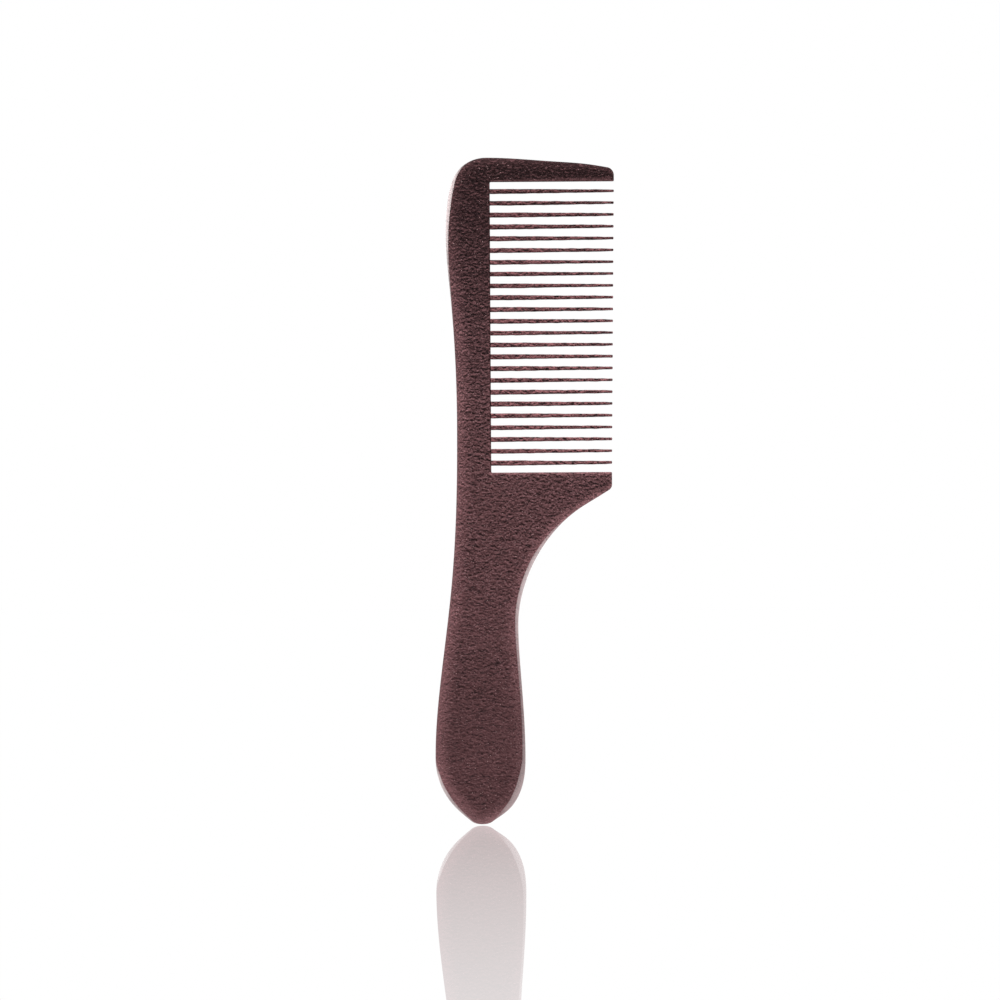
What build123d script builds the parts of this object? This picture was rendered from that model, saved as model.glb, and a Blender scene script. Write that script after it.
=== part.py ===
from build123d import *
import os

# A wooden beard comb. One board is cut to a spine, a handle, a top guard and a lower web, and
# twenty-four separate teeth stand in blind mortises along the spine's inner edge.
#
# Millimetres. +Z runs from the handle's tip up to the head, and +X from the spine out to the
# tooth points. The board lies between its back face, Y = 0, and its front face, Y = -THICKNESS.
# The origin is on the back face, on the handle's centre line at its widest place.

# ---- driving dimensions ----
THICKNESS = 9.0  # board, front face to back face
RIM_RADIUS = 3.6  # rounding all round the outer edge
SLOT_EDGE_RADIUS = 0.4  # softened edges of the guard and the web beside the teeth

TIP_Z = -18.05  # handle's tip
TOP_Z = 161.95  # highest point of the head
GRIP_HALF_WIDTH = 12.2  # handle at its widest, Z = 0
NECK_X = 10.47  # inner side of the handle at its narrowest
NECK_Z = 35.7
SPINE_X = -6.0  # back of the spine where it is slimmest
SPINE_Z = 90.6

ROOT_X = 3.3  # inner edge of the spine, where the teeth start
GUARD_LOW_Z = 155.4  # underside of the top guard
GUARD_END_X = 36.85  # free end of the top guard
GUARD_END_TOP_Z = 159.25  # upper corner of that end, before rounding
GUARD_CORNER = ((GUARD_END_X, 157.1), (34.7, 159.45))  # rounded from the end face to the top edge
WEB_END_X = 35.9  # free end of the lower web
WEB_END_LOW_Z = 72.2  # lower corner of that end, before rounding
WEB_CORNER = ((WEB_END_X, 73.6), (34.68, 71.59))  # rounded from the end face to the lower edge
CORNER_WASTE = 1.0  # the waste cut off a corner reaches this far outside the board

TOOTH_COUNT = 24
TOOTH_WIDTH = 1.25  # along Z, at the root
GAP_WIDTH = 1.94  # between two teeth at the root
TOOTH_STRAIGHT = 8.0  # length of the tooth that keeps its full width
TOOTH_NECK_WIDTH = 0.84  # just before the point
TOOTH_POINT_LENGTH = 3.0
TOOTH_TIP_WIDTH = 0.56  # rounded end
TOOTH_EDGE_RADIUS = 0.2
TENON_LENGTH = 4.0  # glued into the spine
TENON_DEPTH = 4.4  # along Y

TAPER_START_X = 9.0  # the head's faces start to close in here
TAPER_DROP = 3.0  # and have each closed in by this much at the guard's end

# ---- worked out from those ----
PITCH = TOOTH_WIDTH + GAP_WIDTH
WEB_TOP_Z = GUARD_LOW_Z - TOOTH_COUNT * PITCH - GAP_WIDTH
FIRST_TOOTH_Z = GUARD_LOW_Z - GAP_WIDTH - TOOTH_WIDTH / 2
MIDDLE_Y = -THICKNESS / 2
PICKING_MARGIN = 0.1  # slack allowed when edges are picked by their place


def tooth_height(number):
    """Height of a tooth's centre line; tooth 1 is the one under the guard."""
    return FIRST_TOOTH_Z - (number - 1) * PITCH


def tip_line(height):
    """X of the straight line that the guard's end, the tooth points and the web's end lie on."""
    share = (GUARD_LOW_Z - height) / (GUARD_LOW_Z - WEB_TOP_Z)
    return GUARD_END_X + share * (WEB_END_X - GUARD_END_X)


# Section of the head, seen along Z: flat faces that close in on a large arc towards the tips.
with BuildSketch(Plane.XY.offset(TIP_Z)) as head_section:
    with BuildLine():
        back_arc = TangentArc((TAPER_START_X, 0), (GUARD_END_X, -TAPER_DROP), tangent=(1, 0))
        front_arc = TangentArc(
            (TAPER_START_X, -THICKNESS),
            (GUARD_END_X, TAPER_DROP - THICKNESS),
            tangent=(1, 0),
        )
        Line(back_arc @ 1, front_arc @ 1)
        Polyline(
            back_arc @ 0,
            (-2 * GRIP_HALF_WIDTH, 0),
            (-2 * GRIP_HALF_WIDTH, -THICKNESS),
            front_arc @ 0,
        )
    make_face()


def is_long(edge):
    """Tells an edge that runs along a tooth, or beside one, from a short one across its end."""
    return edge.length > TOOTH_WIDTH


def faces_front_or_back(face):
    """True for the flat faces and for the tapered ones that carry on from them."""
    return abs(face.normal_at().Y) > abs(face.normal_at().Z)


def trim_to_head_section():
    """Keeps of the part being built only what lies inside the head's section."""
    extrude(head_section.sketch, amount=TOP_Z - TIP_Z, mode=Mode.INTERSECT)


# ---- the board: spine, handle, top guard and lower web in one piece ----
with BuildPart() as comb_body:
    with BuildSketch(Plane.XZ) as outline:
        with BuildLine():
            top = Spline(
                (GUARD_END_X, GUARD_END_TOP_Z),
                (20.0, 160.95),
                (2.2, TOP_Z),
                tangents=[(-1, 0.1), (-1, 0)],
            )
            crown = Spline(
                top @ 1,
                (-4.2, 159.8),
                (-8.0, 148.9),
                tangents=[(-1, 0), (-0.13, -1)],
            )
            upper_back = Spline(
                crown @ 1,
                (-8.5, 138.0),
                (-7.45, 123.0),
                (-6.32, 106.0),
                (SPINE_X, SPINE_Z),
                tangents=[crown % 1, (0, -1)],
            )
            lower_back = Spline(
                upper_back @ 1,
                (-6.36, 68.0),
                (-7.9, 45.3),
                (-10.7, 22.6),
                (-GRIP_HALF_WIDTH, 0),
                tangents=[(0, -1), (0, -1)],
            )
            tip = ThreePointArc((-2.5, -17.05), (0.2, TIP_Z), (3.05, -17.15))
            Spline(
                lower_back @ 1,
                (-10.25, -8.3),
                (-6.9, -13.15),
                tip @ 0,
                tangents=[(0, -1), tip % 0],
            )
            flank = Spline(
                tip @ 1,
                (7.5, -13.95),
                (10.75, -9.0),
                (GRIP_HALF_WIDTH, 0),
                tangents=[tip % 1, (0, 1)],
            )
            grip_inner = Spline(
                flank @ 1,
                (11.25, 20.9),
                (NECK_X, NECK_Z),
                tangents=[(0, 1), (0, 1)],
            )
            hollow = Spline(
                grip_inner @ 1,
                (12.65, 47.9),
                (17.6, 57.6),
                (25.8, 66.2),
                (WEB_END_X, WEB_END_LOW_Z),
                tangents=[(0, 1), (1, 0.5)],
            )
            Polyline(
                hollow @ 1,
                (WEB_END_X, WEB_TOP_Z),
                (ROOT_X, WEB_TOP_Z),
                (ROOT_X, GUARD_LOW_Z),
                (GUARD_END_X, GUARD_LOW_Z),
                (GUARD_END_X, GUARD_END_TOP_Z),
            )
        make_face()
    extrude(amount=THICKNESS)

    flats = comb_body.faces().filter_by(Axis.Y)
    beside_teeth = (
        flats.edges()
        .filter_by_position(Axis.X, ROOT_X - PICKING_MARGIN, GUARD_END_X)
        .filter_by_position(Axis.Z, WEB_TOP_Z - PICKING_MARGIN, GUARD_LOW_Z + PICKING_MARGIN)
    )
    fillet(flats.edges() - beside_teeth, RIM_RADIUS)
    trim_to_head_section()

    # The free ends' outer corners, each rounded from its end face round to its outer edge.
    for (on_end, on_edge), outward in ((GUARD_CORNER, 1), (WEB_CORNER, -1)):
        clear_of_board = (on_end[0] + CORNER_WASTE, on_edge[1] + outward * CORNER_WASTE)
        with BuildSketch(Plane.XZ):
            with BuildLine():
                TangentArc(on_end, on_edge, tangent=(0, outward))
                Polyline(on_edge, clear_of_board, on_end)
            make_face()
        extrude(amount=THICKNESS, mode=Mode.SUBTRACT)

    beside_slots = comb_body.faces().filter_by(Axis.Z).edges().filter_by(Axis.Y, reverse=True)
    fillet(beside_slots.filter_by(GeomType.CIRCLE).filter_by(is_long), SLOT_EDGE_RADIUS)

    with Locations(*[(ROOT_X, MIDDLE_Y, tooth_height(n + 1)) for n in range(TOOTH_COUNT)]):
        Box(
            TENON_LENGTH,
            TENON_DEPTH,
            TOOTH_WIDTH,
            align=(Align.MAX, Align.CENTER, Align.CENTER),
            mode=Mode.SUBTRACT,
        )

comb_body.part.label = "comb_body"

# ---- the teeth: each a tapered stick with a tenon, standing in its own mortise ----
teeth = []
for number in range(1, TOOTH_COUNT + 1):
    height = tooth_height(number)
    length = tip_line(height) - ROOT_X
    with BuildPart() as tooth:
        with BuildSketch(Plane.XZ.shift_origin((ROOT_X, 0, height))):
            with BuildLine():
                upper = Polyline(
                    (0, 0),
                    (0, TOOTH_WIDTH / 2),
                    (TOOTH_STRAIGHT, TOOTH_WIDTH / 2),
                    (length - TOOTH_POINT_LENGTH, TOOTH_NECK_WIDTH / 2),
                    (length - TOOTH_TIP_WIDTH / 2, TOOTH_TIP_WIDTH / 2),
                )
                RadiusArc(upper @ 1, (length, 0), TOOTH_TIP_WIDTH / 2)
                mirror(about=Plane.XZ)
            make_face()
        extrude(amount=THICKNESS)
        trim_to_head_section()
        outer_faces = tooth.faces().filter_by(faces_front_or_back)
        fillet(outer_faces.edges().filter_by(is_long), TOOTH_EDGE_RADIUS)
        with Locations((ROOT_X, MIDDLE_Y, height)):
            Box(
                TENON_LENGTH,
                TENON_DEPTH,
                TOOTH_WIDTH,
                align=(Align.MAX, Align.CENTER, Align.CENTER),
            )
    tooth.part.label = f"tooth_{number:02d}"
    teeth.append(tooth.part)

os.makedirs("parts", exist_ok=True)
export_step(comb_body.part, "parts/comb_body.step")
for tooth_part in teeth:
    export_step(tooth_part, f"parts/{tooth_part.label}.step")
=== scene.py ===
"""A wooden beard comb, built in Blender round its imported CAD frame.

One board makes the grip, the spine, the top guard and the lower web, and twenty-four teeth stand
in mortises along the spine. Shapes are worked out in millimetres, in the frame's own axes: +Z up
the comb, +X out to the tooth points, and the front face towards -Y. Meshes are in metres.
"""

import math
import random

import bmesh
import bpy
import numpy as np
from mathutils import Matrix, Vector, noise
from mathutils.geometry import delaunay_2d_cdt


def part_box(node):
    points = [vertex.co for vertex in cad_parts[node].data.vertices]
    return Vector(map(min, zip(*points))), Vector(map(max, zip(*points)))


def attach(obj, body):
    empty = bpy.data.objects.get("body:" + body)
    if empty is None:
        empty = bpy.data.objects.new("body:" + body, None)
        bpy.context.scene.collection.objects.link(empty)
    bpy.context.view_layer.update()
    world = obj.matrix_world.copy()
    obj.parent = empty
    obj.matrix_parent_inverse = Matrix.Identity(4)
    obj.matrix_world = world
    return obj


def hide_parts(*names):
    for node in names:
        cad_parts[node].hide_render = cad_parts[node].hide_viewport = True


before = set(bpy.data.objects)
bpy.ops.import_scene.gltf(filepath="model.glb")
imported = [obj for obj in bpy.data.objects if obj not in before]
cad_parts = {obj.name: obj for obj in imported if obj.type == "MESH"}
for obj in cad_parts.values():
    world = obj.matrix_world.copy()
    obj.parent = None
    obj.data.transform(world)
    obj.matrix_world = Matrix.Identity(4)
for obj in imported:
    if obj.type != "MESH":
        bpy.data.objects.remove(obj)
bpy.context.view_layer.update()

MM = 0.001
BODY_LOW, BODY_HIGH = (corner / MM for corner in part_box("comb_body"))
TOOTH_NODES = sorted(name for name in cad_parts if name.startswith("tooth_"))

# ---- driving dimensions, in millimetres ----
THICKNESS = BODY_HIGH.y - BODY_LOW.y
MIDDLE_Y = (BODY_HIGH.y + BODY_LOW.y) / 2
TIP_Z = BODY_LOW.z
TOP_Z = BODY_HIGH.z
GUARD_END_X = BODY_HIGH.x
GRIP_HALF_WIDTH = -BODY_LOW.x
ROOT_X = 3.3  # inner edge of the spine, where the teeth start
GUARD_LOW_Z = 155.4
WEB_END_X = 35.9
WEB_TOP_Z = 76.9
TAPER_START_X = 9.0  # the head's faces close in from here out to the tips
TAPER_DROP = 3.0
MORTISE_DEPTH = 4.0
MORTISE_HEIGHT = 4.4  # along Y
MORTISE_WIDTH = 1.25  # along Z
WEB_CORNER_Z = 72.55  # lower corner of the web's free end, before rounding
GUARD_CORNER_Z = 158.93  # upper corner of the guard's free end, before rounding
LEAST_WALL = 0.15  # the rounding leaves at least this much of each half's outer wall
FACET_BLEND = 0.05  # a planed band's inner edge is softened over this much to either side
FACET_SLOPE = 1.1  # a planed band drops this much for each millimetre of its width
FULL_FACET = 0.7  # a narrower band follows the rounding down, so that it starts without a step

# ---- the finish with its painted highlights and painted light, kept on the board's mesh ----
SHEEN_AND_WEAR = "worn"  # mesh attribute, 0 to 1: painted highlight and wear that make a planed band pale
PAINTED_RIM_LIGHT = "rubbed"  # mesh attribute, 0 to 5: painted light on a rounded edge, which faces light from below and the sides
SHEEN_AND_WEAR_FADE = 0.35  # share of a planed band's painted highlight and wear that is gone at the band's inner edge
PAINTED_RIM_LIGHT_FADE = 1.2  # power of the fading from the edge to the rounding's inner end


# ---- smooth curves ----
def spline(points, start, end, spacing):
    """Points about `spacing` apart along the smooth curve through `points`. It leaves along the
    direction `start` and arrives along `end`."""
    p = np.array(points, float)
    step = np.linalg.norm(np.diff(p, axis=0), axis=1)
    n = len(p)
    rows = np.zeros((n, n))
    right = np.zeros((n, 2))
    rows[0, 0] = rows[-1, -1] = 1
    right[0] = np.array(start) / np.linalg.norm(start)
    right[-1] = np.array(end) / np.linalg.norm(end)
    for i in range(1, n - 1):
        before, after = step[i - 1], step[i]
        rows[i, i - 1 : i + 2] = after, 2 * (before + after), before
        right[i] = 3 * (after * (p[i] - p[i - 1]) / before + before * (p[i + 1] - p[i]) / after)
    slope = np.linalg.solve(rows, right)
    found = []
    for i in range(n - 1):
        count = max(1, round(step[i] / spacing))
        t = np.arange(count)[:, None] / count
        found.append(
            (2 * t**3 - 3 * t**2 + 1) * p[i]
            + (t**3 - 2 * t**2 + t) * step[i] * slope[i]
            + (3 * t**2 - 2 * t**3) * p[i + 1]
            + (t**3 - t**2) * step[i] * slope[i + 1]
        )
    return np.vstack(found)


def rounded_corner(before, corner, after, radius, spacing):
    """Points round the corner between two straight runs, on an arc of that radius."""
    corner = np.array(corner, float)
    back = np.array(before, float) - corner
    on = np.array(after, float) - corner
    back /= np.linalg.norm(back)
    on /= np.linalg.norm(on)
    half = math.acos(np.clip(back @ on, -1, 1)) / 2
    first = corner + back * radius / math.tan(half)
    last = corner + on * radius / math.tan(half)
    middle = (back + on) / np.linalg.norm(back + on)
    centre = corner + middle * radius / math.sin(half)
    sweep = math.pi - 2 * half
    count = max(3, round(sweep * radius / spacing))
    weights = np.linspace(0, sweep, count + 1)
    return np.array(
        [
            centre
            + (first - centre) * math.sin(sweep - a) / math.sin(sweep)
            + (last - centre) * math.sin(a) / math.sin(sweep)
            for a in weights
        ]
    )


def straight(first, last, spacing):
    """Points along a straight run, without its last one."""
    first, last = np.array(first, float), np.array(last, float)
    count = max(1, round(np.linalg.norm(last - first) / spacing))
    return first + (last - first) * np.arange(count)[:, None] / count


# ---- the board's outline ----
class Outline:
    """The board's closed outline, counter-clockwise, with what its rim does at every point.

    rim is the width of the rounding inside the edge. facet is the width of the flat band planed
    along the rounding's outermost part, and worn is how pale that band is painted, as a
    painted highlight and as wear of its finish. rub is how much painted light lightens
    the rounding. opens marks the points where a mortise starts."""

    def __init__(self):
        self.runs = []

    def add(self, points, rim, facet=(0, 0), worn=(0, 0), rub=(1, 1), opens=None):
        """Adds a run. rim, facet, worn and rub are values spread evenly along it."""
        step = np.linalg.norm(np.diff(points, axis=0), axis=1)
        share = np.concatenate([[0], np.cumsum(step)]) / max(step.sum(), 1e-9)
        given = (rim, facet, worn, rub)
        spread = [np.interp(share, np.linspace(0, 1, len(v)), v) for v in given]
        opens = np.zeros(len(points), bool) if opens is None else opens
        self.runs.append((points, *spread, opens))

    def finish(self):
        """Joins the runs and works out which way is in at every point."""
        self.points, self.rim, self.facet, self.worn, self.rub, self.opens = (
            np.concatenate(part) for part in zip(*self.runs)
        )
        along = np.roll(self.points, -1, axis=0) - np.roll(self.points, 1, axis=0)
        along /= np.linalg.norm(along, axis=1)[:, None]
        self.inward = np.column_stack([-along[:, 1], along[:, 0]])


def tooth_height(number):
    """Height of a tooth's centre line, from its CAD node; tooth 1 is the one under the guard."""
    low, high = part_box(TOOTH_NODES[number - 1])
    return (low.z + high.z) / 2 / MM


def board_outline():
    """The board's outline: smooth runs from the guard's end over the crown, down the back, round
    the grip and up to the web's end, then the straight runs round the slot."""
    outline = Outline()
    step = 0.5
    fine_step = 0.08
    into_tip, out_of_tip = (0.778, -0.628), (0.8, 0.6)
    top_start_rim, web_start_rim = 1.9, 2.0
    neck, spine, crown, back = (10.35, 35.7), (-5.9, 90.6), (2.2, TOP_Z), (-8.24, 148.9)
    widest, grip = (-GRIP_HALF_WIDTH, 0), (GRIP_HALF_WIDTH - 0.1, 0)
    top_start, web_start = (34.4, 159.35), (33.4, 71.0)
    left_tip, right_tip = (-2.6, -17.2), (3.15, -17.3)
    outline.add(
        spline([top_start, (31.0, 159.92), (20.0, 160.9), crown], (-1, 0.17), (-1, 0), step),
        rim=(top_start_rim, 2.3, 2.8),
        rub=(0.3, 0.3, 0.4),
    )
    outline.add(
        spline([crown, (-4.1, 159.65), back], (-1, 0), (-0.11, -1), step),
        rim=(2.8, 3.4, 4.0),
        facet=(0, 0, 0.45, 0.9, 0.95),
        worn=(0, 0, 0.7, 1, 1),
        rub=(0.4, 0.6, 0.8),
    )
    outline.add(
        spline(
            [back, (-8.58, 138.4), (-7.32, 123.0), (-6.22, 106.0), spine],
            (-0.11, -1),
            (0, -1),
            step,
        ),
        rim=(4.0, 4.3),
        facet=(0.95, 0.65, 0.35, 0.15, 0, 0, 0, 0),
        worn=(1, 1, 0.8, 0.5, 0, 0, 0, 0),
        rub=(0.8, 1.7, 1.3),
    )
    outline.add(
        spline([spine, (-6.22, 68.0), (-7.72, 45.3), (-10.48, 22.6), widest], (0, -1), (0, -1), step),
        rim=(4.3, 4.3),
        rub=(1.2, 0.95, 1.4),
    )
    outline.add(
        spline([widest, (-10.36, -8.4), (-7.04, -13.24), left_tip], (0, -1), into_tip, step),
        rim=(4.3, 4.0),
        facet=(0, 0.6, 0.8, 0.6, 0.3),
        worn=(0, 1, 1, 0.8, 0.5),
        rub=(1.5, 3.5, 4.0),
    )
    outline.add(
        spline([left_tip, (0.2, TIP_Z), right_tip], into_tip, out_of_tip, step),
        rim=(4.0, 4.0),
        facet=(0.3, 0, 0),
        worn=(0.5, 0, 0),
        rub=(4.0, 4.0),
    )
    outline.add(
        spline([right_tip, (7.56, -14.03), (10.72, -9.1), grip], out_of_tip, (0, 1), step),
        rim=(4.0, 4.3),
        facet=(0, 1.2, 1.6, 1.45, 0.8),
        worn=(0, 0.5, 0.55, 0.46, 0.38),
        rub=(3.0, 1.7, 0.9, 0.3),
    )
    outline.add(
        spline([grip, (11.12, 20.9), neck], (0, 1), (0, 1), step),
        rim=(4.3, 4.0),
        facet=(0.8, 0.65, 0.6, 0.65, 0.8),
        worn=(0.38, 0.3, 0.35, 0.42, 0.55),
        rub=(0.3, 0.6, 1.2),
    )
    outline.add(
        spline([neck, (12.6, 47.9), (17.6, 57.6), (25.8, 66.2), web_start], (0, 1), (1, 0.62), step),
        rim=(4.0, 3.0, 2.8, 2.6, web_start_rim),
        facet=(0.8, 0.95, 0.95, 0.6, 0, 0),
        worn=(0.55, 0.8, 0.8, 0.5, 0, 0),
        rub=(1.2, 1.8, 3.2, 3.6, 3.0),
    )

    # The straight runs round the slot. Each ends at a corner, given with the corner's radius and
    # with the run's rim and painted light, and the corner is rounded into the next run.
    corners = [
        ((WEB_END_X, WEB_CORNER_Z), 1.8, 1.2, 2.0),
        ((WEB_END_X, WEB_TOP_Z), 0.3, 1.0, 1.0),
        ((ROOT_X, WEB_TOP_Z), 0.3, 0.9, 1.5),
        ((ROOT_X, GUARD_LOW_Z), 0.3, 0.5, 0.6),
        ((GUARD_END_X, GUARD_LOW_Z), 0.3, 1.3, 5.0),
        ((GUARD_END_X, GUARD_CORNER_Z), 2.2, 1.5, 0.6),
    ]
    places = [web_start, *(corner[0] for corner in corners), top_start]
    start, rim_before = np.array(web_start), web_start_rim
    for (corner, radius, rim, rub), before, after in zip(corners, places, places[2:]):
        arc = rounded_corner(before, corner, after, radius, fine_step if radius < 1 else step / 2)
        run, opens = straight(start, arc[0], step), None
        if start[0] == arc[0][0] == ROOT_X:
            run, opens = slot_wall(start[1], arc[0][1], step)
        outline.add(run, rim=(rim_before, rim), rub=(rub, rub), opens=opens)
        outline.add(arc[:-1], rim=(rim, rim), rub=(rub, rub))
        start, rim_before = arc[-1], rim
    outline.add(straight(start, top_start, step), rim=(rim_before, top_start_rim))
    outline.finish()
    return outline


def slot_wall(low, high, step):
    """The spine's inner edge, with a point at each mortise's two edges and none between them."""
    heights, opens = [], []
    here = low
    for number in range(len(TOOTH_NODES), 0, -1):
        middle = tooth_height(number)
        land = straight((ROOT_X, here), (ROOT_X, middle - MORTISE_WIDTH / 2), step)[:, 1]
        heights += [*land, middle - MORTISE_WIDTH / 2]
        opens += [False] * len(land) + [True]
        here = middle + MORTISE_WIDTH / 2
    land = straight((ROOT_X, here), (ROOT_X, high), step)[:, 1]
    heights += [*land]
    opens += [False] * len(land)
    return np.column_stack([np.full(len(heights), ROOT_X), heights]), np.array(opens)


# ---- the board's faces ----
def half_thickness(x):
    """Half the board's thickness: full over the handle and the spine, less towards the tips."""
    run = GUARD_END_X - TAPER_START_X
    arc = (run**2 + TAPER_DROP**2) / (2 * TAPER_DROP)
    past = np.clip(x - TAPER_START_X, 0, None)
    return THICKNESS / 2 - (arc - np.sqrt(arc**2 - past**2))


def rim_height(inside, rim, facet, full):
    """Height over the middle plane at a distance inside the edge: a quarter round, its outermost
    part cut straight by the facet."""
    wall = np.maximum(full - rim, LEAST_WALL)
    across = np.clip(inside / rim, 0, 1)
    rounded = wall + (full - wall) * np.sqrt(1 - (1 - across) ** 2)
    at_crease = wall + (full - wall) * np.sqrt(1 - (1 - np.clip(facet / rim, 0, 1)) ** 2)
    gentle = (facet - inside) * FACET_SLOPE
    to_wall = (at_crease - wall) * (1 - inside / np.maximum(facet, 1e-6))
    share = np.clip(facet / FULL_FACET, 0, 1)
    planed = np.maximum(at_crease - share * gentle - (1 - share) * to_wall, LEAST_WALL)
    return np.where(inside < facet, planed, rounded)


def surface_height(points, outline, batch=2000):
    """At each point: the face's height over the middle plane, the distance inside the edge, how
    pale a planed band is painted with painted highlight and wear, and how much painted light the
    rounding has."""
    found = []
    for first in range(0, len(points), batch):
        part = points[first : first + batch]
        gap = np.linalg.norm(part[:, None] - outline.points[None], axis=2)
        full = half_thickness(part[:, 0])[:, None]
        each = rim_height(gap, outline.rim[None], outline.facet[None], full)
        nearest = gap.argmin(axis=1)
        inside = gap.min(axis=1)
        facet = outline.facet[nearest]
        on_facet = inside < facet + FACET_BLEND / 2
        kept = 1 - SHEEN_AND_WEAR_FADE * inside / np.maximum(facet, FACET_BLEND)
        worn = np.where(on_facet, outline.worn[nearest] * kept, 0)
        nearness = np.clip(1 - inside / outline.rim[nearest], 0, 1) ** PAINTED_RIM_LIGHT_FADE
        found.append((each.min(axis=1), inside, worn, nearness * outline.rub[nearest]))
    return (np.concatenate(part) for part in zip(*found))


def face_points(outline):
    """Points spread over the board's face: rings that follow the rim's curve, and a plain grid
    over the flat inside them."""
    return np.vstack([rim_points(outline), flat_points(outline)])


def rim_points(outline):
    """Points in rings over the rounding, closer together towards the edge, and three more at a
    planed band's inner edge. A point is dropped where another stretch of the edge is nearer."""
    fewest, most, rings_per_mm = 3, 10, 1.8
    least_facet = 0.1
    facet_clearance = 0.12
    own_share = 0.97
    found = []
    for point, inward, rim, facet in zip(outline.points, outline.inward, outline.rim, outline.facet):
        count = int(np.clip(fewest + rings_per_mm * rim, fewest, most))
        depths = list(rim * (1 - np.cos(np.arange(1, count + 1) / count * math.pi / 2)))
        if facet > least_facet:
            depths = [d for d in depths if abs(d - facet) > facet_clearance]
            depths += [facet - FACET_BLEND, facet, facet + FACET_BLEND]
        found += [(*(point + inward * d), d) for d in depths]
    found = np.array(found)
    _, inside, _, _ = surface_height(found[:, :2], outline)
    return found[inside > own_share * found[:, 2], :2]


def flat_points(outline):
    """Points over the flat inside the rounding, in rows that make even triangles."""
    pitch = 0.9
    row_pitch = pitch * 0.866
    margin = 0.35
    low, high = outline.points.min(axis=0), outline.points.max(axis=0)
    xs, zs = np.arange(low[0], high[0], pitch), np.arange(low[1], high[1], row_pitch)
    grid = np.array([(x + pitch / 2 * (row % 2), z) for row, z in enumerate(zs) for x in xs])
    nearest = np.array([np.argmin(np.linalg.norm(outline.points - p, axis=1)) for p in grid])
    gap = np.linalg.norm(outline.points[nearest] - grid, axis=1)
    to_inside = ((grid - outline.points[nearest]) * outline.inward[nearest]).sum(axis=1) > 0
    return grid[to_inside & (gap > outline.rim[nearest] + margin)]


def hand_finish(x, z, side, height):
    """How much sanding by hand has taken off a face, in millimetres: long shallow waves with
    shorter ones on them, which die out down the rounding. side is -1 in front and 1 behind."""
    deepest = 0.05
    full_from = 4.0
    wave_x, wave_z = 7, 11
    apart = 8  # keeps the waves on the two faces from being the same
    shorter, shorter_share = 2.7, 0.4
    place = Vector((x / wave_x, side * apart, z / wave_z))
    waves = deepest * (noise.noise(place) + shorter_share * noise.noise(place * shorter))
    return abs(waves) * min(height / full_from, 1)


def make_body(outline):
    """The board: two faces, the wall between them and the mortises."""
    rim_count = len(outline.points)
    keep_inside, tolerance = 1, 1e-5
    given = [Vector(p) for p in np.vstack([outline.points, face_points(outline)])]
    edges = [(i, (i + 1) % rim_count) for i in range(rim_count)]
    meshed = delaunay_2d_cdt(given, edges, [], keep_inside, tolerance)
    placed, _, faces, origin, _, _ = meshed
    place = {o: i for i, source in enumerate(origin) for o in source}
    xz = np.array([tuple(p) for p in placed])
    height, _, *finish = surface_height(xz, outline)

    mesh = bmesh.new()
    layers = [mesh.verts.layers.float.new(name) for name in (SHEEN_AND_WEAR, PAINTED_RIM_LIGHT)]
    sides = []
    for side in (-1, 1):
        verts = []
        for (x, z), h, *values in zip(xz, height, *finish):
            y = MIDDLE_Y + side * (h - hand_finish(x, z, side, h))
            verts.append(mesh.verts.new((x * MM, y * MM, z * MM)))
            for layer, value in zip(layers, values):
                verts[-1][layer] = value
        for face in faces:
            mesh.faces.new([verts[i] for i in face])
        sides.append(verts)
    front, back = ([side[place[i]] for i in range(rim_count)] for side in sides)
    add_wall(mesh, outline, front, back)
    bmesh.ops.recalc_face_normals(mesh, faces=mesh.faces)
    return new_piece("comb_board", mesh)


def add_wall(mesh, outline, front, back):
    """Joins the two faces round the outline. The wall is left open at each mortise, and the
    mortise's sides and floor are added there. Between two planed bands the wall isn't painted
    pale, and it gets only part of the painted light on the front's edge."""
    rubbed = mesh.verts.layers.float[PAINTED_RIM_LIGHT]
    wall_share = 0.7  # where the wall is thin, its rows keep within this share of its height
    # the wall's middle rows take part of the painted light on the front's edge, up to a limit
    rub_share, most_rub = 0.6, 0.6
    rows = [front]
    for part in (MORTISE_HEIGHT / 2, 0, -MORTISE_HEIGHT / 2):
        row = []
        for (x, z), a, b in zip(outline.points, front, back):
            reach = (b.co.y - a.co.y) / MM / 2
            y = MIDDLE_Y - part * min(1, wall_share * reach / (MORTISE_HEIGHT / 2))
            row.append(mesh.verts.new((x * MM, y * MM, z * MM)))
            row[-1][rubbed] = min(rub_share * a[rubbed], most_rub)
        rows.append(row)
    rows.append(back)
    count = len(front)
    for i in range(count):
        j = (i + 1) % count
        for band, (above, below) in enumerate(zip(rows, rows[1:])):
            if outline.opens[i] and band in (1, 2):
                continue
            mesh.faces.new((above[i], above[j], below[j], below[i]))
        if outline.opens[i]:
            mouth = [rows[1][i], rows[1][j], rows[2][j], rows[3][j], rows[3][i], rows[2][i]]
            depth = Vector((MORTISE_DEPTH * MM, 0, 0))
            floor = [mesh.verts.new(v.co - depth) for v in mouth]
            for k in range(len(mouth)):
                n = (k + 1) % len(mouth)
                mesh.faces.new((mouth[k], mouth[n], floor[n], floor[k]))
            mesh.faces.new(floor)


# ---- the teeth ----
def section(half_width, half_depth, corner, arc_points=5, side_points=5):
    """A rounded rectangle's points in Y and Z, starting at the front's middle. Its number of
    points doesn't depend on its size."""
    rounded_share = 0.98
    corner = min(corner, half_width * rounded_share, half_depth * rounded_share)
    quarter = []
    for k in range(arc_points + 1):
        a = k / arc_points * math.pi / 2
        across = half_width - corner + corner * math.sin(a)
        quarter.append((half_depth - corner + corner * math.cos(a), across))
    for k in range(1, side_points + 1):
        quarter.append(((half_depth - corner) * (1 - k / side_points), half_width))
    front_up = [(-depth, across) for depth, across in quarter]
    back_up = [(depth, across) for depth, across in reversed(quarter[:-1])]
    upper = front_up + back_up
    lower = [(y, -z) for y, z in reversed(upper)]
    return [(-half_depth, 0.0), *upper, (half_depth, 0.0), *lower]


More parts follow.
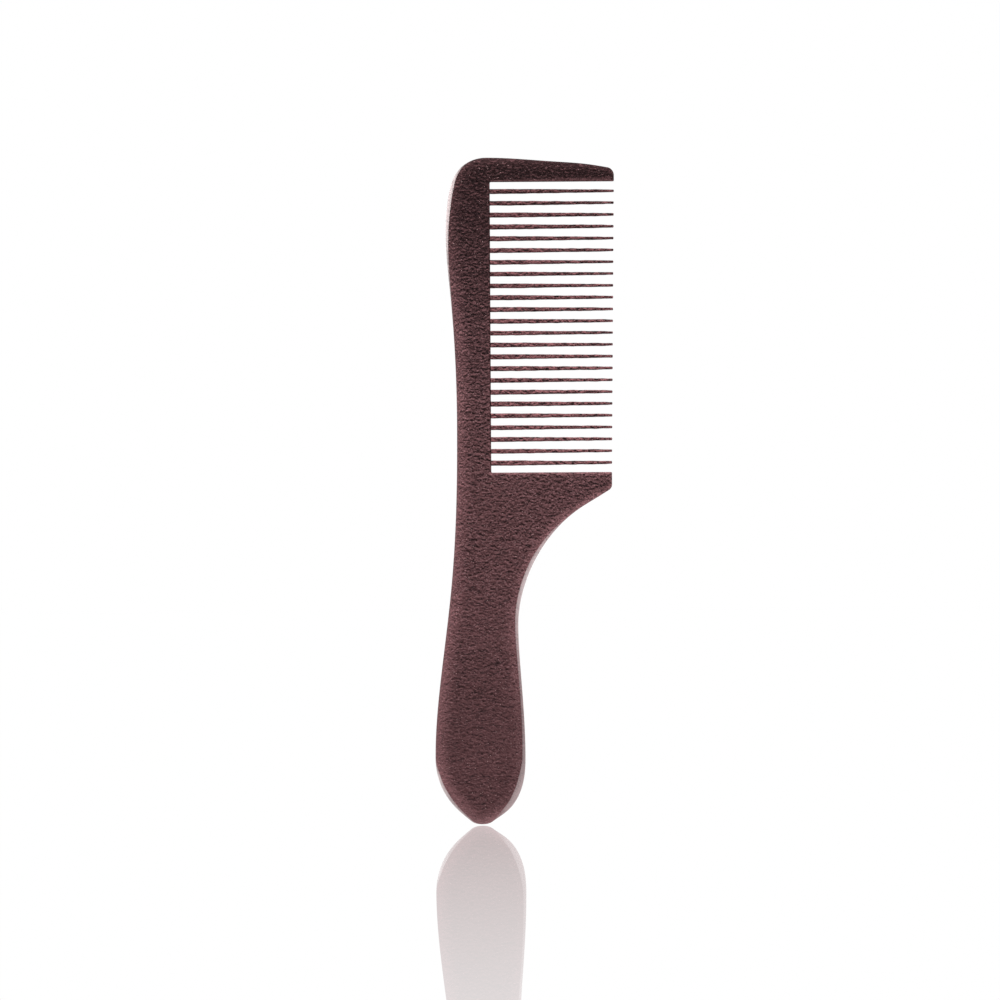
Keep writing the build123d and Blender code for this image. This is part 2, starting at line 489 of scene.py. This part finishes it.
def tooth_width(share):
    """A tooth's width at a share of its length: nearly full for the first quarter, then slimmer,
    and pinched in close to the tip."""
    places = (0, 0.24, 0.35, 0.48, 0.6, 0.72, 0.85, 0.92, 1)
    widths = (1, 0.96, 0.895, 0.815, 0.755, 0.715, 0.683, 0.6, 0.54)
    return float(np.interp(share, places, widths))


def edge_wobble(along, phase):
    """How far a filed edge strays at a place along the tooth: long waves with short ones on them."""
    long_wave, long_reach = 2.1, 0.075
    short_wave, short_reach = 0.6, 0.025
    long_part = noise.noise(Vector((along / long_wave, phase, 0))) * long_reach
    short_part = noise.noise(Vector((along / short_wave, phase, 9))) * short_reach
    return long_part + short_part


def tooth_depth(along, length, phase):
    """Half a tooth's depth along Y: the head's own, less over the nose and a little uneven."""
    nose_length, tip_share = 2.2, 0.45
    wave, most_filed = 4, 0.1
    full = float(half_thickness(ROOT_X + along))
    depth = full
    to_tip = length - along
    if to_tip < nose_length:
        curve = math.sqrt(max(1 - (1 - to_tip / nose_length) ** 2, 0))
        depth *= tip_share + (1 - tip_share) * curve
    depth -= most_filed * abs(noise.noise(Vector((along / wave, phase, 5))))
    return min(depth, full)


def make_tooth(name, number):
    """One tooth: a plate-like stick sawn and filed by hand, with its tenon. Every tooth's width is
    its own, and they widen very slightly down the comb."""
    chance = random.Random(100 + number)
    narrowest, widest, widening = 1.21, 1.36, 0.005
    edge_radius = 0.45
    dome = 0.15  # length of the rounded end
    steady_rings, end_rings = 64, 7
    least_half = 1e-3
    noise_span = 50
    middle = tooth_height(number)
    width = chance.uniform(narrowest, widest) + widening * (number - len(TOOTH_NODES) / 2)
    upper_phase, lower_phase, depth_phase = (chance.uniform(0, noise_span) for _ in range(3))
    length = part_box(name)[1].x / MM - ROOT_X
    steady = np.linspace(0, length - dome, steady_rings)
    ending = length - dome + dome * np.sin(np.linspace(0, math.pi / 2, end_rings))[1:]
    rings = []
    for along in [*steady, *ending]:
        end = math.sqrt(max(1 - max(along - (length - dome), 0) ** 2 / dome**2, 0.0))
        half = width / 2 * tooth_width(along / length)
        upper = (half + edge_wobble(along, upper_phase)) * end
        lower = (half + edge_wobble(along, lower_phase)) * end
        if along == 0:
            upper = lower = width / 2
        depth = tooth_depth(along, length, depth_phase)
        ring = section((upper + lower) / 2 + least_half, depth, edge_radius)
        shift = (upper - lower) / 2
        rings.append([(ROOT_X + along, MIDDLE_Y + y, middle + z + shift) for y, z in ring])
    tenon = section(MORTISE_WIDTH / 2, MORTISE_HEIGHT / 2, 0.0)
    for x in (ROOT_X, ROOT_X - MORTISE_DEPTH):
        rings.insert(0, [(x, MIDDLE_Y + y, middle + z) for y, z in tenon])
    mesh = bmesh.new()
    rows = [[mesh.verts.new([c * MM for c in point]) for point in ring] for ring in rings]
    for before, after in zip(rows, rows[1:]):
        for i in range(len(before)):
            j = (i + 1) % len(before)
            mesh.faces.new((before[i], before[j], after[j], after[i]))
    mesh.faces.new(rows[0])
    mesh.faces.new(rows[-1])
    bmesh.ops.remove_doubles(mesh, verts=mesh.verts, dist=1e-7)
    bmesh.ops.recalc_face_normals(mesh, faces=mesh.faces)
    return new_piece(f"tooth_{number:02d}_wood", mesh)


def new_piece(name, mesh):
    """Turns a bmesh into an object, smooth-shaded but for its sharp edges."""
    sharp_from = math.radians(40)
    data = bpy.data.meshes.new(name)
    mesh.to_mesh(data)
    mesh.free()
    for polygon in data.polygons:
        polygon.use_smooth = True
    data.set_sharp_from_angle(angle=sharp_from)
    piece = bpy.data.objects.new(name, data)
    bpy.context.scene.collection.objects.link(piece)
    return piece


# ---- materials ----
class Shading:
    """Adds shader nodes by kind. A setting that is another node's output becomes a link."""

    def __init__(self, tree):
        self.tree = tree
        tree.nodes.clear()

    def add(self, kind, inputs=None, **settings):
        node = self.tree.nodes.new("ShaderNode" + kind)
        for name, value in settings.items():
            setattr(node, name, value)
        for name, value in (inputs or {}).items():
            if isinstance(value, bpy.types.NodeSocket):
                self.tree.links.new(value, node.inputs[name])
            else:
                node.inputs[name].default_value = value
        return node

    def maths(self, operation, *values):
        return self.add("Math", dict(enumerate(values)), operation=operation).outputs[0]

    def ramp(self, value, low, high, to_low=0.0, to_high=1.0):
        """value from low to high becomes to_low to to_high, and stays there past either end."""
        inputs = {"Value": value, 1: low, 2: high, 3: to_low, 4: to_high}
        return self.add("MapRange", inputs).outputs[0]

    def blend(self, share, first, second, how="MIX"):
        inputs = {0: share, 6: first, 7: second}
        return self.add("Mix", inputs, data_type="RGBA", blend_type=how).outputs[2]

    def pattern(self, where, per_mm, **inputs):
        """Noise whose size along X, Y and Z is given as cycles per millimetre."""
        scaled = self.add("Mapping", {"Vector": where, "Scale": [c / MM for c in per_mm]})
        noise_inputs = {"Vector": scaled.outputs[0], "Scale": 1.0, **inputs}
        return self.add("TexNoise", noise_inputs).outputs["Fac"]


def wood_patterns(s, place):
    """The patterns in the wood: a skin of fine wrinkles that run along X, finer grain, short
    pores, and wide bands and patches. painted_wrinkle_shading is painted light and shade on the
    wrinkles, as if lit from above: how much each wrinkle rises above the skin just over it, so it
    is painted light along a wrinkle's upper side and painted shade along its lower one."""
    skin = {"per_mm": (0.95, 1.2, 1.95), "Detail": 1.0, "Roughness": 0.5, "Distortion": 0.6}
    wrinkle_height = 0.43
    above = s.add("Mapping", {"Vector": place, "Location": (0, 0, wrinkle_height * MM)}).outputs[0]
    wrinkles = s.pattern(place, **skin)
    # painted light and shade: the wrinkles as if lit from above, light on their upper sides and dark
    # below
    painted_wrinkle_shading = s.maths("SUBTRACT", wrinkles, s.pattern(above, **skin))
    pores = s.pattern(place, (0.6, 1.5, 2.0), Detail=1.0, Roughness=0.5)
    return {
        "wrinkles": wrinkles,
        "painted_wrinkle_shading": painted_wrinkle_shading,
        "grain": s.pattern(place, (1.9, 2.4, 3.0), Detail=1.0, Roughness=0.6),
        "pores": s.ramp(pores, 0.62, 0.72),
        "bands": s.pattern(place, (0.02, 0.06, 0.16), Detail=3.0, Roughness=0.6, Distortion=0.4),
        "patches": s.pattern(place, (0.05, 0.05, 0.05), Detail=2.0, Roughness=0.5),
    }


def wood_tone(s, patterns, up, out, head_shade):
    """From 0, the dark colour, to 1, the light one. The wrinkles' painted light and shade show most
    halfway up the comb. Painted shade darkens the wood up the head, where less light falls, by
    head_shade at its top, and there it is a little darker outwards too. Painted shade also makes
    it a little darker round the grip's end. up and out are Z and X, in millimetres."""
    base = -0.10
    contrast = s.ramp(up, 10, 85, 0.6, 2.35)
    contrast = s.maths("MULTIPLY", contrast, s.ramp(up, 110, 145, 1.0, 0.6))
    # painted light and shade of the wrinkles, strongest halfway up the comb
    tone = s.maths("MULTIPLY_ADD", patterns["painted_wrinkle_shading"], contrast, base)
    for name, share in (("wrinkles", 0.35), ("grain", 0.8), ("bands", 0.25), ("patches", 0.25)):
        tone = s.maths("MULTIPLY_ADD", patterns[name], share, tone)
    # painted shade: darker up the head, where less light falls
    tone = s.maths("SUBTRACT", tone, s.ramp(up, 80, 162, 0.15, 0.15 + head_shade))
    # painted shade: a little darker round the grip's end
    tone = s.maths("SUBTRACT", tone, s.ramp(up, 15, 40, 0.07, 0.0))
    outward = s.maths("MULTIPLY", s.ramp(out, 4, 32, 0.0, 0.08), s.ramp(up, 100, 145, 0.0, 1.0))
    return s.maths("SUBTRACT", tone, outward)


def wood_colour(s, patterns, place, up, tone, dark, light):
    """The oiled wood's own colour, with its dark pores, and with pale glints, which are painted
    highlights of the satin finish, fainter on the head and towards the grip's end."""
    pore_colour, glint_colour = (0.006, 0.003, 0.004, 1), (0.20, 0.102, 0.110, 1)
    colour = s.blend(s.ramp(tone, 0.0, 1.0), dark, light)
    colour = s.blend(s.maths("MULTIPLY", patterns["pores"], 0.6), colour, pore_colour)
    # painted highlights: pale glints, as if the satin finish caught the light
    glints = s.ramp(s.pattern(place, (1.8, 2.2, 3.4), Detail=0.0), 0.58, 0.78, 0.0, 0.6)
    glints = s.maths("MULTIPLY", glints, s.ramp(up, 95, 145, 1.0, 0.3))
    glints = s.maths("MULTIPLY", glints, s.ramp(up, 10, 45, 0.5, 1.0))
    return s.blend(glints, colour, glint_colour)


def rubbed_colour(s, colour):
    """Lightens the colour with painted light where a rounded edge faces light from below and the
    sides.
    """
    # painted light: a rounded edge is made up to full_gain times lighter and partly a pale red-brown
    full_rub, full_gain, rim_lit_share = 2.6, 3.1, 0.45
    rim_lit_colour = (0.165, 0.080, 0.086, 1)
    rubbed = s.add("Attribute", attribute_name=PAINTED_RIM_LIGHT).outputs["Fac"]
    lighter = s.ramp(rubbed, 0.0, full_rub, 1.0, full_gain)
    colour = s.add("VectorMath", {0: colour, "Scale": lighter}, operation="SCALE").outputs[0]
    return s.blend(s.ramp(rubbed, 0.0, full_rub, 0.0, rim_lit_share), colour, rim_lit_colour)


def specked_colour(s, colour, place):
    """Adds pale specks: a round dot in about a third of the pattern's cells."""
    cell_size = 0.7
    dot_radius = 0.115  # in cells
    empty_share = 0.66  # of the cells
    speck_colour = (0.34, 0.22, 0.22, 1)
    cells = s.add("TexVoronoi", {"Vector": place, "Scale": 1 / (cell_size * MM), "Randomness": 1.0})
    is_dot = s.maths("LESS_THAN", cells.outputs["Distance"], dot_radius)
    chosen = s.add("SeparateColor", {0: cells.outputs["Color"]}).outputs[0]
    specks = s.maths("MULTIPLY", is_dot, s.maths("GREATER_THAN", chosen, empty_share))
    return s.blend(specks, colour, speck_colour)


def wood_relief(s, patterns, up, worn):
    """The skin's height, for the bump. It is shallower on the head and the grip, and nearly flat
    on the planed bands that are painted pale."""
    relief = s.maths("MULTIPLY", patterns["wrinkles"], s.ramp(up, 125, 150, 1.0, 0.6))
    relief = s.maths("MULTIPLY_ADD", patterns["grain"], 0.4, relief)
    relief = s.maths("MULTIPLY_ADD", patterns["pores"], -0.3, relief)
    relief = s.maths("MULTIPLY", relief, s.ramp(up, 0, 90, 0.45, 1.15))
    return s.maths("MULTIPLY", relief, s.ramp(worn, 0.0, 1.0, 1.0, 0.3))


def wood(name, dark, light, shift, head_shade):
    """Dark oiled wood with a satin finish, painted pale on the planed bands with a painted
    highlight and wear, and lighter where painted light falls on a rounded edge. shift moves the
    patterns, so that two pieces don't show the same bit."""
    # painted highlight and worn finish on the planed bands: a pale pinkish grey
    worn_colour = (0.55, 0.47, 0.47, 1)
    bump_height = 0.85
    material = bpy.data.materials.new(name)
    material.use_nodes = True
    s = Shading(material.node_tree)
    unmoved = s.add("TexCoord").outputs["Object"]
    place = s.add("Mapping", {"Vector": unmoved, "Location": shift}).outputs[0]
    in_mm = s.add("VectorMath", {0: unmoved, "Scale": 1 / MM}, operation="SCALE").outputs[0]
    axes = s.add("SeparateXYZ", {0: in_mm}).outputs
    up, out = axes["Z"], axes["X"]

    patterns = wood_patterns(s, place)
    tone = wood_tone(s, patterns, up, out, head_shade)
    colour = wood_colour(s, patterns, place, up, tone, dark, light)
    colour = specked_colour(s, rubbed_colour(s, colour), place)
    worn = s.add("Attribute", attribute_name=SHEEN_AND_WEAR).outputs["Fac"]
    # the planed bands painted pale: a painted highlight of their grazing reflection, and wear
    colour = s.blend(worn, colour, worn_colour)
    relief = wood_relief(s, patterns, up, worn)
    bump = s.add("Bump", {"Strength": 1.0, "Distance": bump_height * MM, "Height": relief})
    surface = s.add(
        "BsdfPrincipled",
        {
            "Base Color": colour,
            "Roughness": s.ramp(patterns["grain"], 0.3, 0.7, 0.42, 0.55),
            "IOR": 1.45,
            "Specular IOR Level": 0.04,
            "Normal": bump.outputs[0],
        },
    )
    s.add("OutputMaterial", {"Surface": surface.outputs[0]})
    return material


# ---- the studio ----
def make_floor():
    """A white table with a sharp shine, which fades towards the camera. What the shine takes from
    the table's own white is exactly what the white room gives back, so the table has no far edge.
    The table doesn't light the comb: the light from below in make_world stands in for it."""
    half = 16.0  # metres
    gap = 0.2  # millimetres between the table and the comb's tip
    mesh = bmesh.new()
    corners = [(-half, -half), (half, -half), (half, half), (-half, half)]
    mesh.faces.new([mesh.verts.new((x, y, (TIP_Z - gap) * MM)) for x, y in corners])
    data = bpy.data.meshes.new("white_table")
    mesh.to_mesh(data)
    mesh.free()
    floor = bpy.data.objects.new("white_table", data)
    bpy.context.scene.collection.objects.link(floor)
    floor.visible_diffuse = False
    floor.visible_glossy = False
    material = bpy.data.materials.new("white_gloss")
    material.use_nodes = True
    s = Shading(material.node_tree)
    towards_camera = s.add("SeparateXYZ", {0: s.add("TexCoord").outputs["Object"]}).outputs["Y"]
    # Full strength up to 0.4 m in front of the comb, and faintest from 4.8 m on.
    share = s.ramp(towards_camera, -4.8, -0.4, 0.15, 0.535)
    shine_colour = s.blend(share, (0, 0, 0, 1), (0.9, 1, 1, 1))
    shine = s.add("BsdfGlossy", {"Color": shine_colour, "Roughness": 0.0})
    rest = s.blend(1.0, (1, 1, 1, 1), shine_colour, how="SUBTRACT")
    white = s.add("Emission", {"Color": rest, "Strength": 1.0})
    both = s.add("AddShader", {0: white.outputs[0], 1: shine.outputs[0]})
    s.add("OutputMaterial", {"Surface": both.outputs[0]})
    data.materials.append(material)


def make_world():
    """White all round to look at, straight on or in the table. As a light it is dim in front of
    the comb, brighter to the sides and behind, and brightest below, where the white table is."""
    world = bpy.data.worlds.new("studio")
    bpy.context.scene.world = world
    world.use_nodes = True
    s = Shading(world.node_tree)
    direction = s.add("SeparateXYZ", {0: s.add("TexCoord").outputs["Generated"]})
    around = s.ramp(direction.outputs["Y"], -0.85, -0.1, 0.02, 0.5)
    below = s.ramp(direction.outputs["Z"], -1.0, -0.5, 3.0, 0.0)
    lit = s.add("Background", {"Color": (1, 1, 1, 1), "Strength": s.maths("ADD", around, below)})
    seen = s.add("Background", {"Color": (1, 1, 1, 1), "Strength": 1.0})
    ray = s.add("LightPath").outputs
    looked_at = s.maths("MAXIMUM", ray["Is Camera Ray"], ray["Is Singular Ray"])
    both = s.add("MixShader", {0: looked_at, 1: lit.outputs[0], 2: seen.outputs[0]})
    s.add("OutputWorld", {"Surface": both.outputs[0]})


def soft_light(name, place, aim, size, power):
    """A softbox that isn't seen itself."""
    data = bpy.data.lights.new(name, "AREA")
    data.shape = "RECTANGLE"
    data.size, data.size_y = size
    data.energy = power
    light = bpy.data.objects.new(name, data)
    light.location = place
    light.rotation_euler = (Vector(aim) - Vector(place)).to_track_quat("-Z", "Y").to_euler()
    light.visible_camera = False
    bpy.context.scene.collection.objects.link(light)


def make_camera():
    """A very long lens looking straight at the front face, level with the comb's middle and
    turned a little about its own axis."""
    seen = 270.1 * MM  # width of the view at the comb
    distance = 8.0  # metres
    roll = math.radians(0.33)
    middle = Vector((5.6, MIDDLE_Y, 69.5)) * MM
    data = bpy.data.cameras.new("camera")
    data.sensor_width = 36.0
    data.lens = data.sensor_width * distance / seen
    camera = bpy.data.objects.new("camera", data)
    camera.location = middle - Vector((0, distance, 0))
    camera.rotation_euler = (math.radians(90), roll, 0)
    bpy.context.scene.collection.objects.link(camera)
    bpy.context.scene.camera = camera


def main():
    board_wood = wood(
        "dark_wood_board",
        dark=(0.012, 0.0050, 0.0054, 1),
        light=(0.107, 0.0484, 0.0518, 1),
        shift=(0, 0, 0),
        head_shade=0.56,
    )
    # The teeth get a lighter copy of the board's wood: painted light for the light that wraps round
    # the thin teeth.
    tooth_wood_painted_lighter = wood(
        "dark_wood_teeth_painted_lighter",
        dark=(0.020, 0.0083, 0.0090, 1),
        light=(0.221, 0.0890, 0.0955, 1),
        shift=(0.3, 0.1, 0.2),
        head_shade=0.25,
    )
    body = make_body(board_outline())
    body.data.materials.append(board_wood)
    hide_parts("comb_body")
    pieces = [body]
    for number, name in enumerate(TOOTH_NODES, 1):
        tooth = make_tooth(name, number)
        tooth.data.materials.append(tooth_wood_painted_lighter)
        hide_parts(name)
        pieces.append(tooth)
    for piece in pieces:
        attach(piece, "root")
    make_floor()
    make_world()
    # Places and sizes in metres, and power in watts.
    middle = (0.005, MIDDLE_Y * MM, 0.07)
    soft_light("key", (-0.40, -0.75, 1.45), middle, (0.5, 0.5), 46.0)
    soft_light("left_side", (-0.85, -0.2, 0.1), middle, (0.3, 0.6), 4.0)
    soft_light("right_side", (0.85, -0.35, 0.1), middle, (0.3, 0.6), 10.5)
    make_camera()
    scene = bpy.context.scene
    scene.view_settings.view_transform = "Standard"


main()
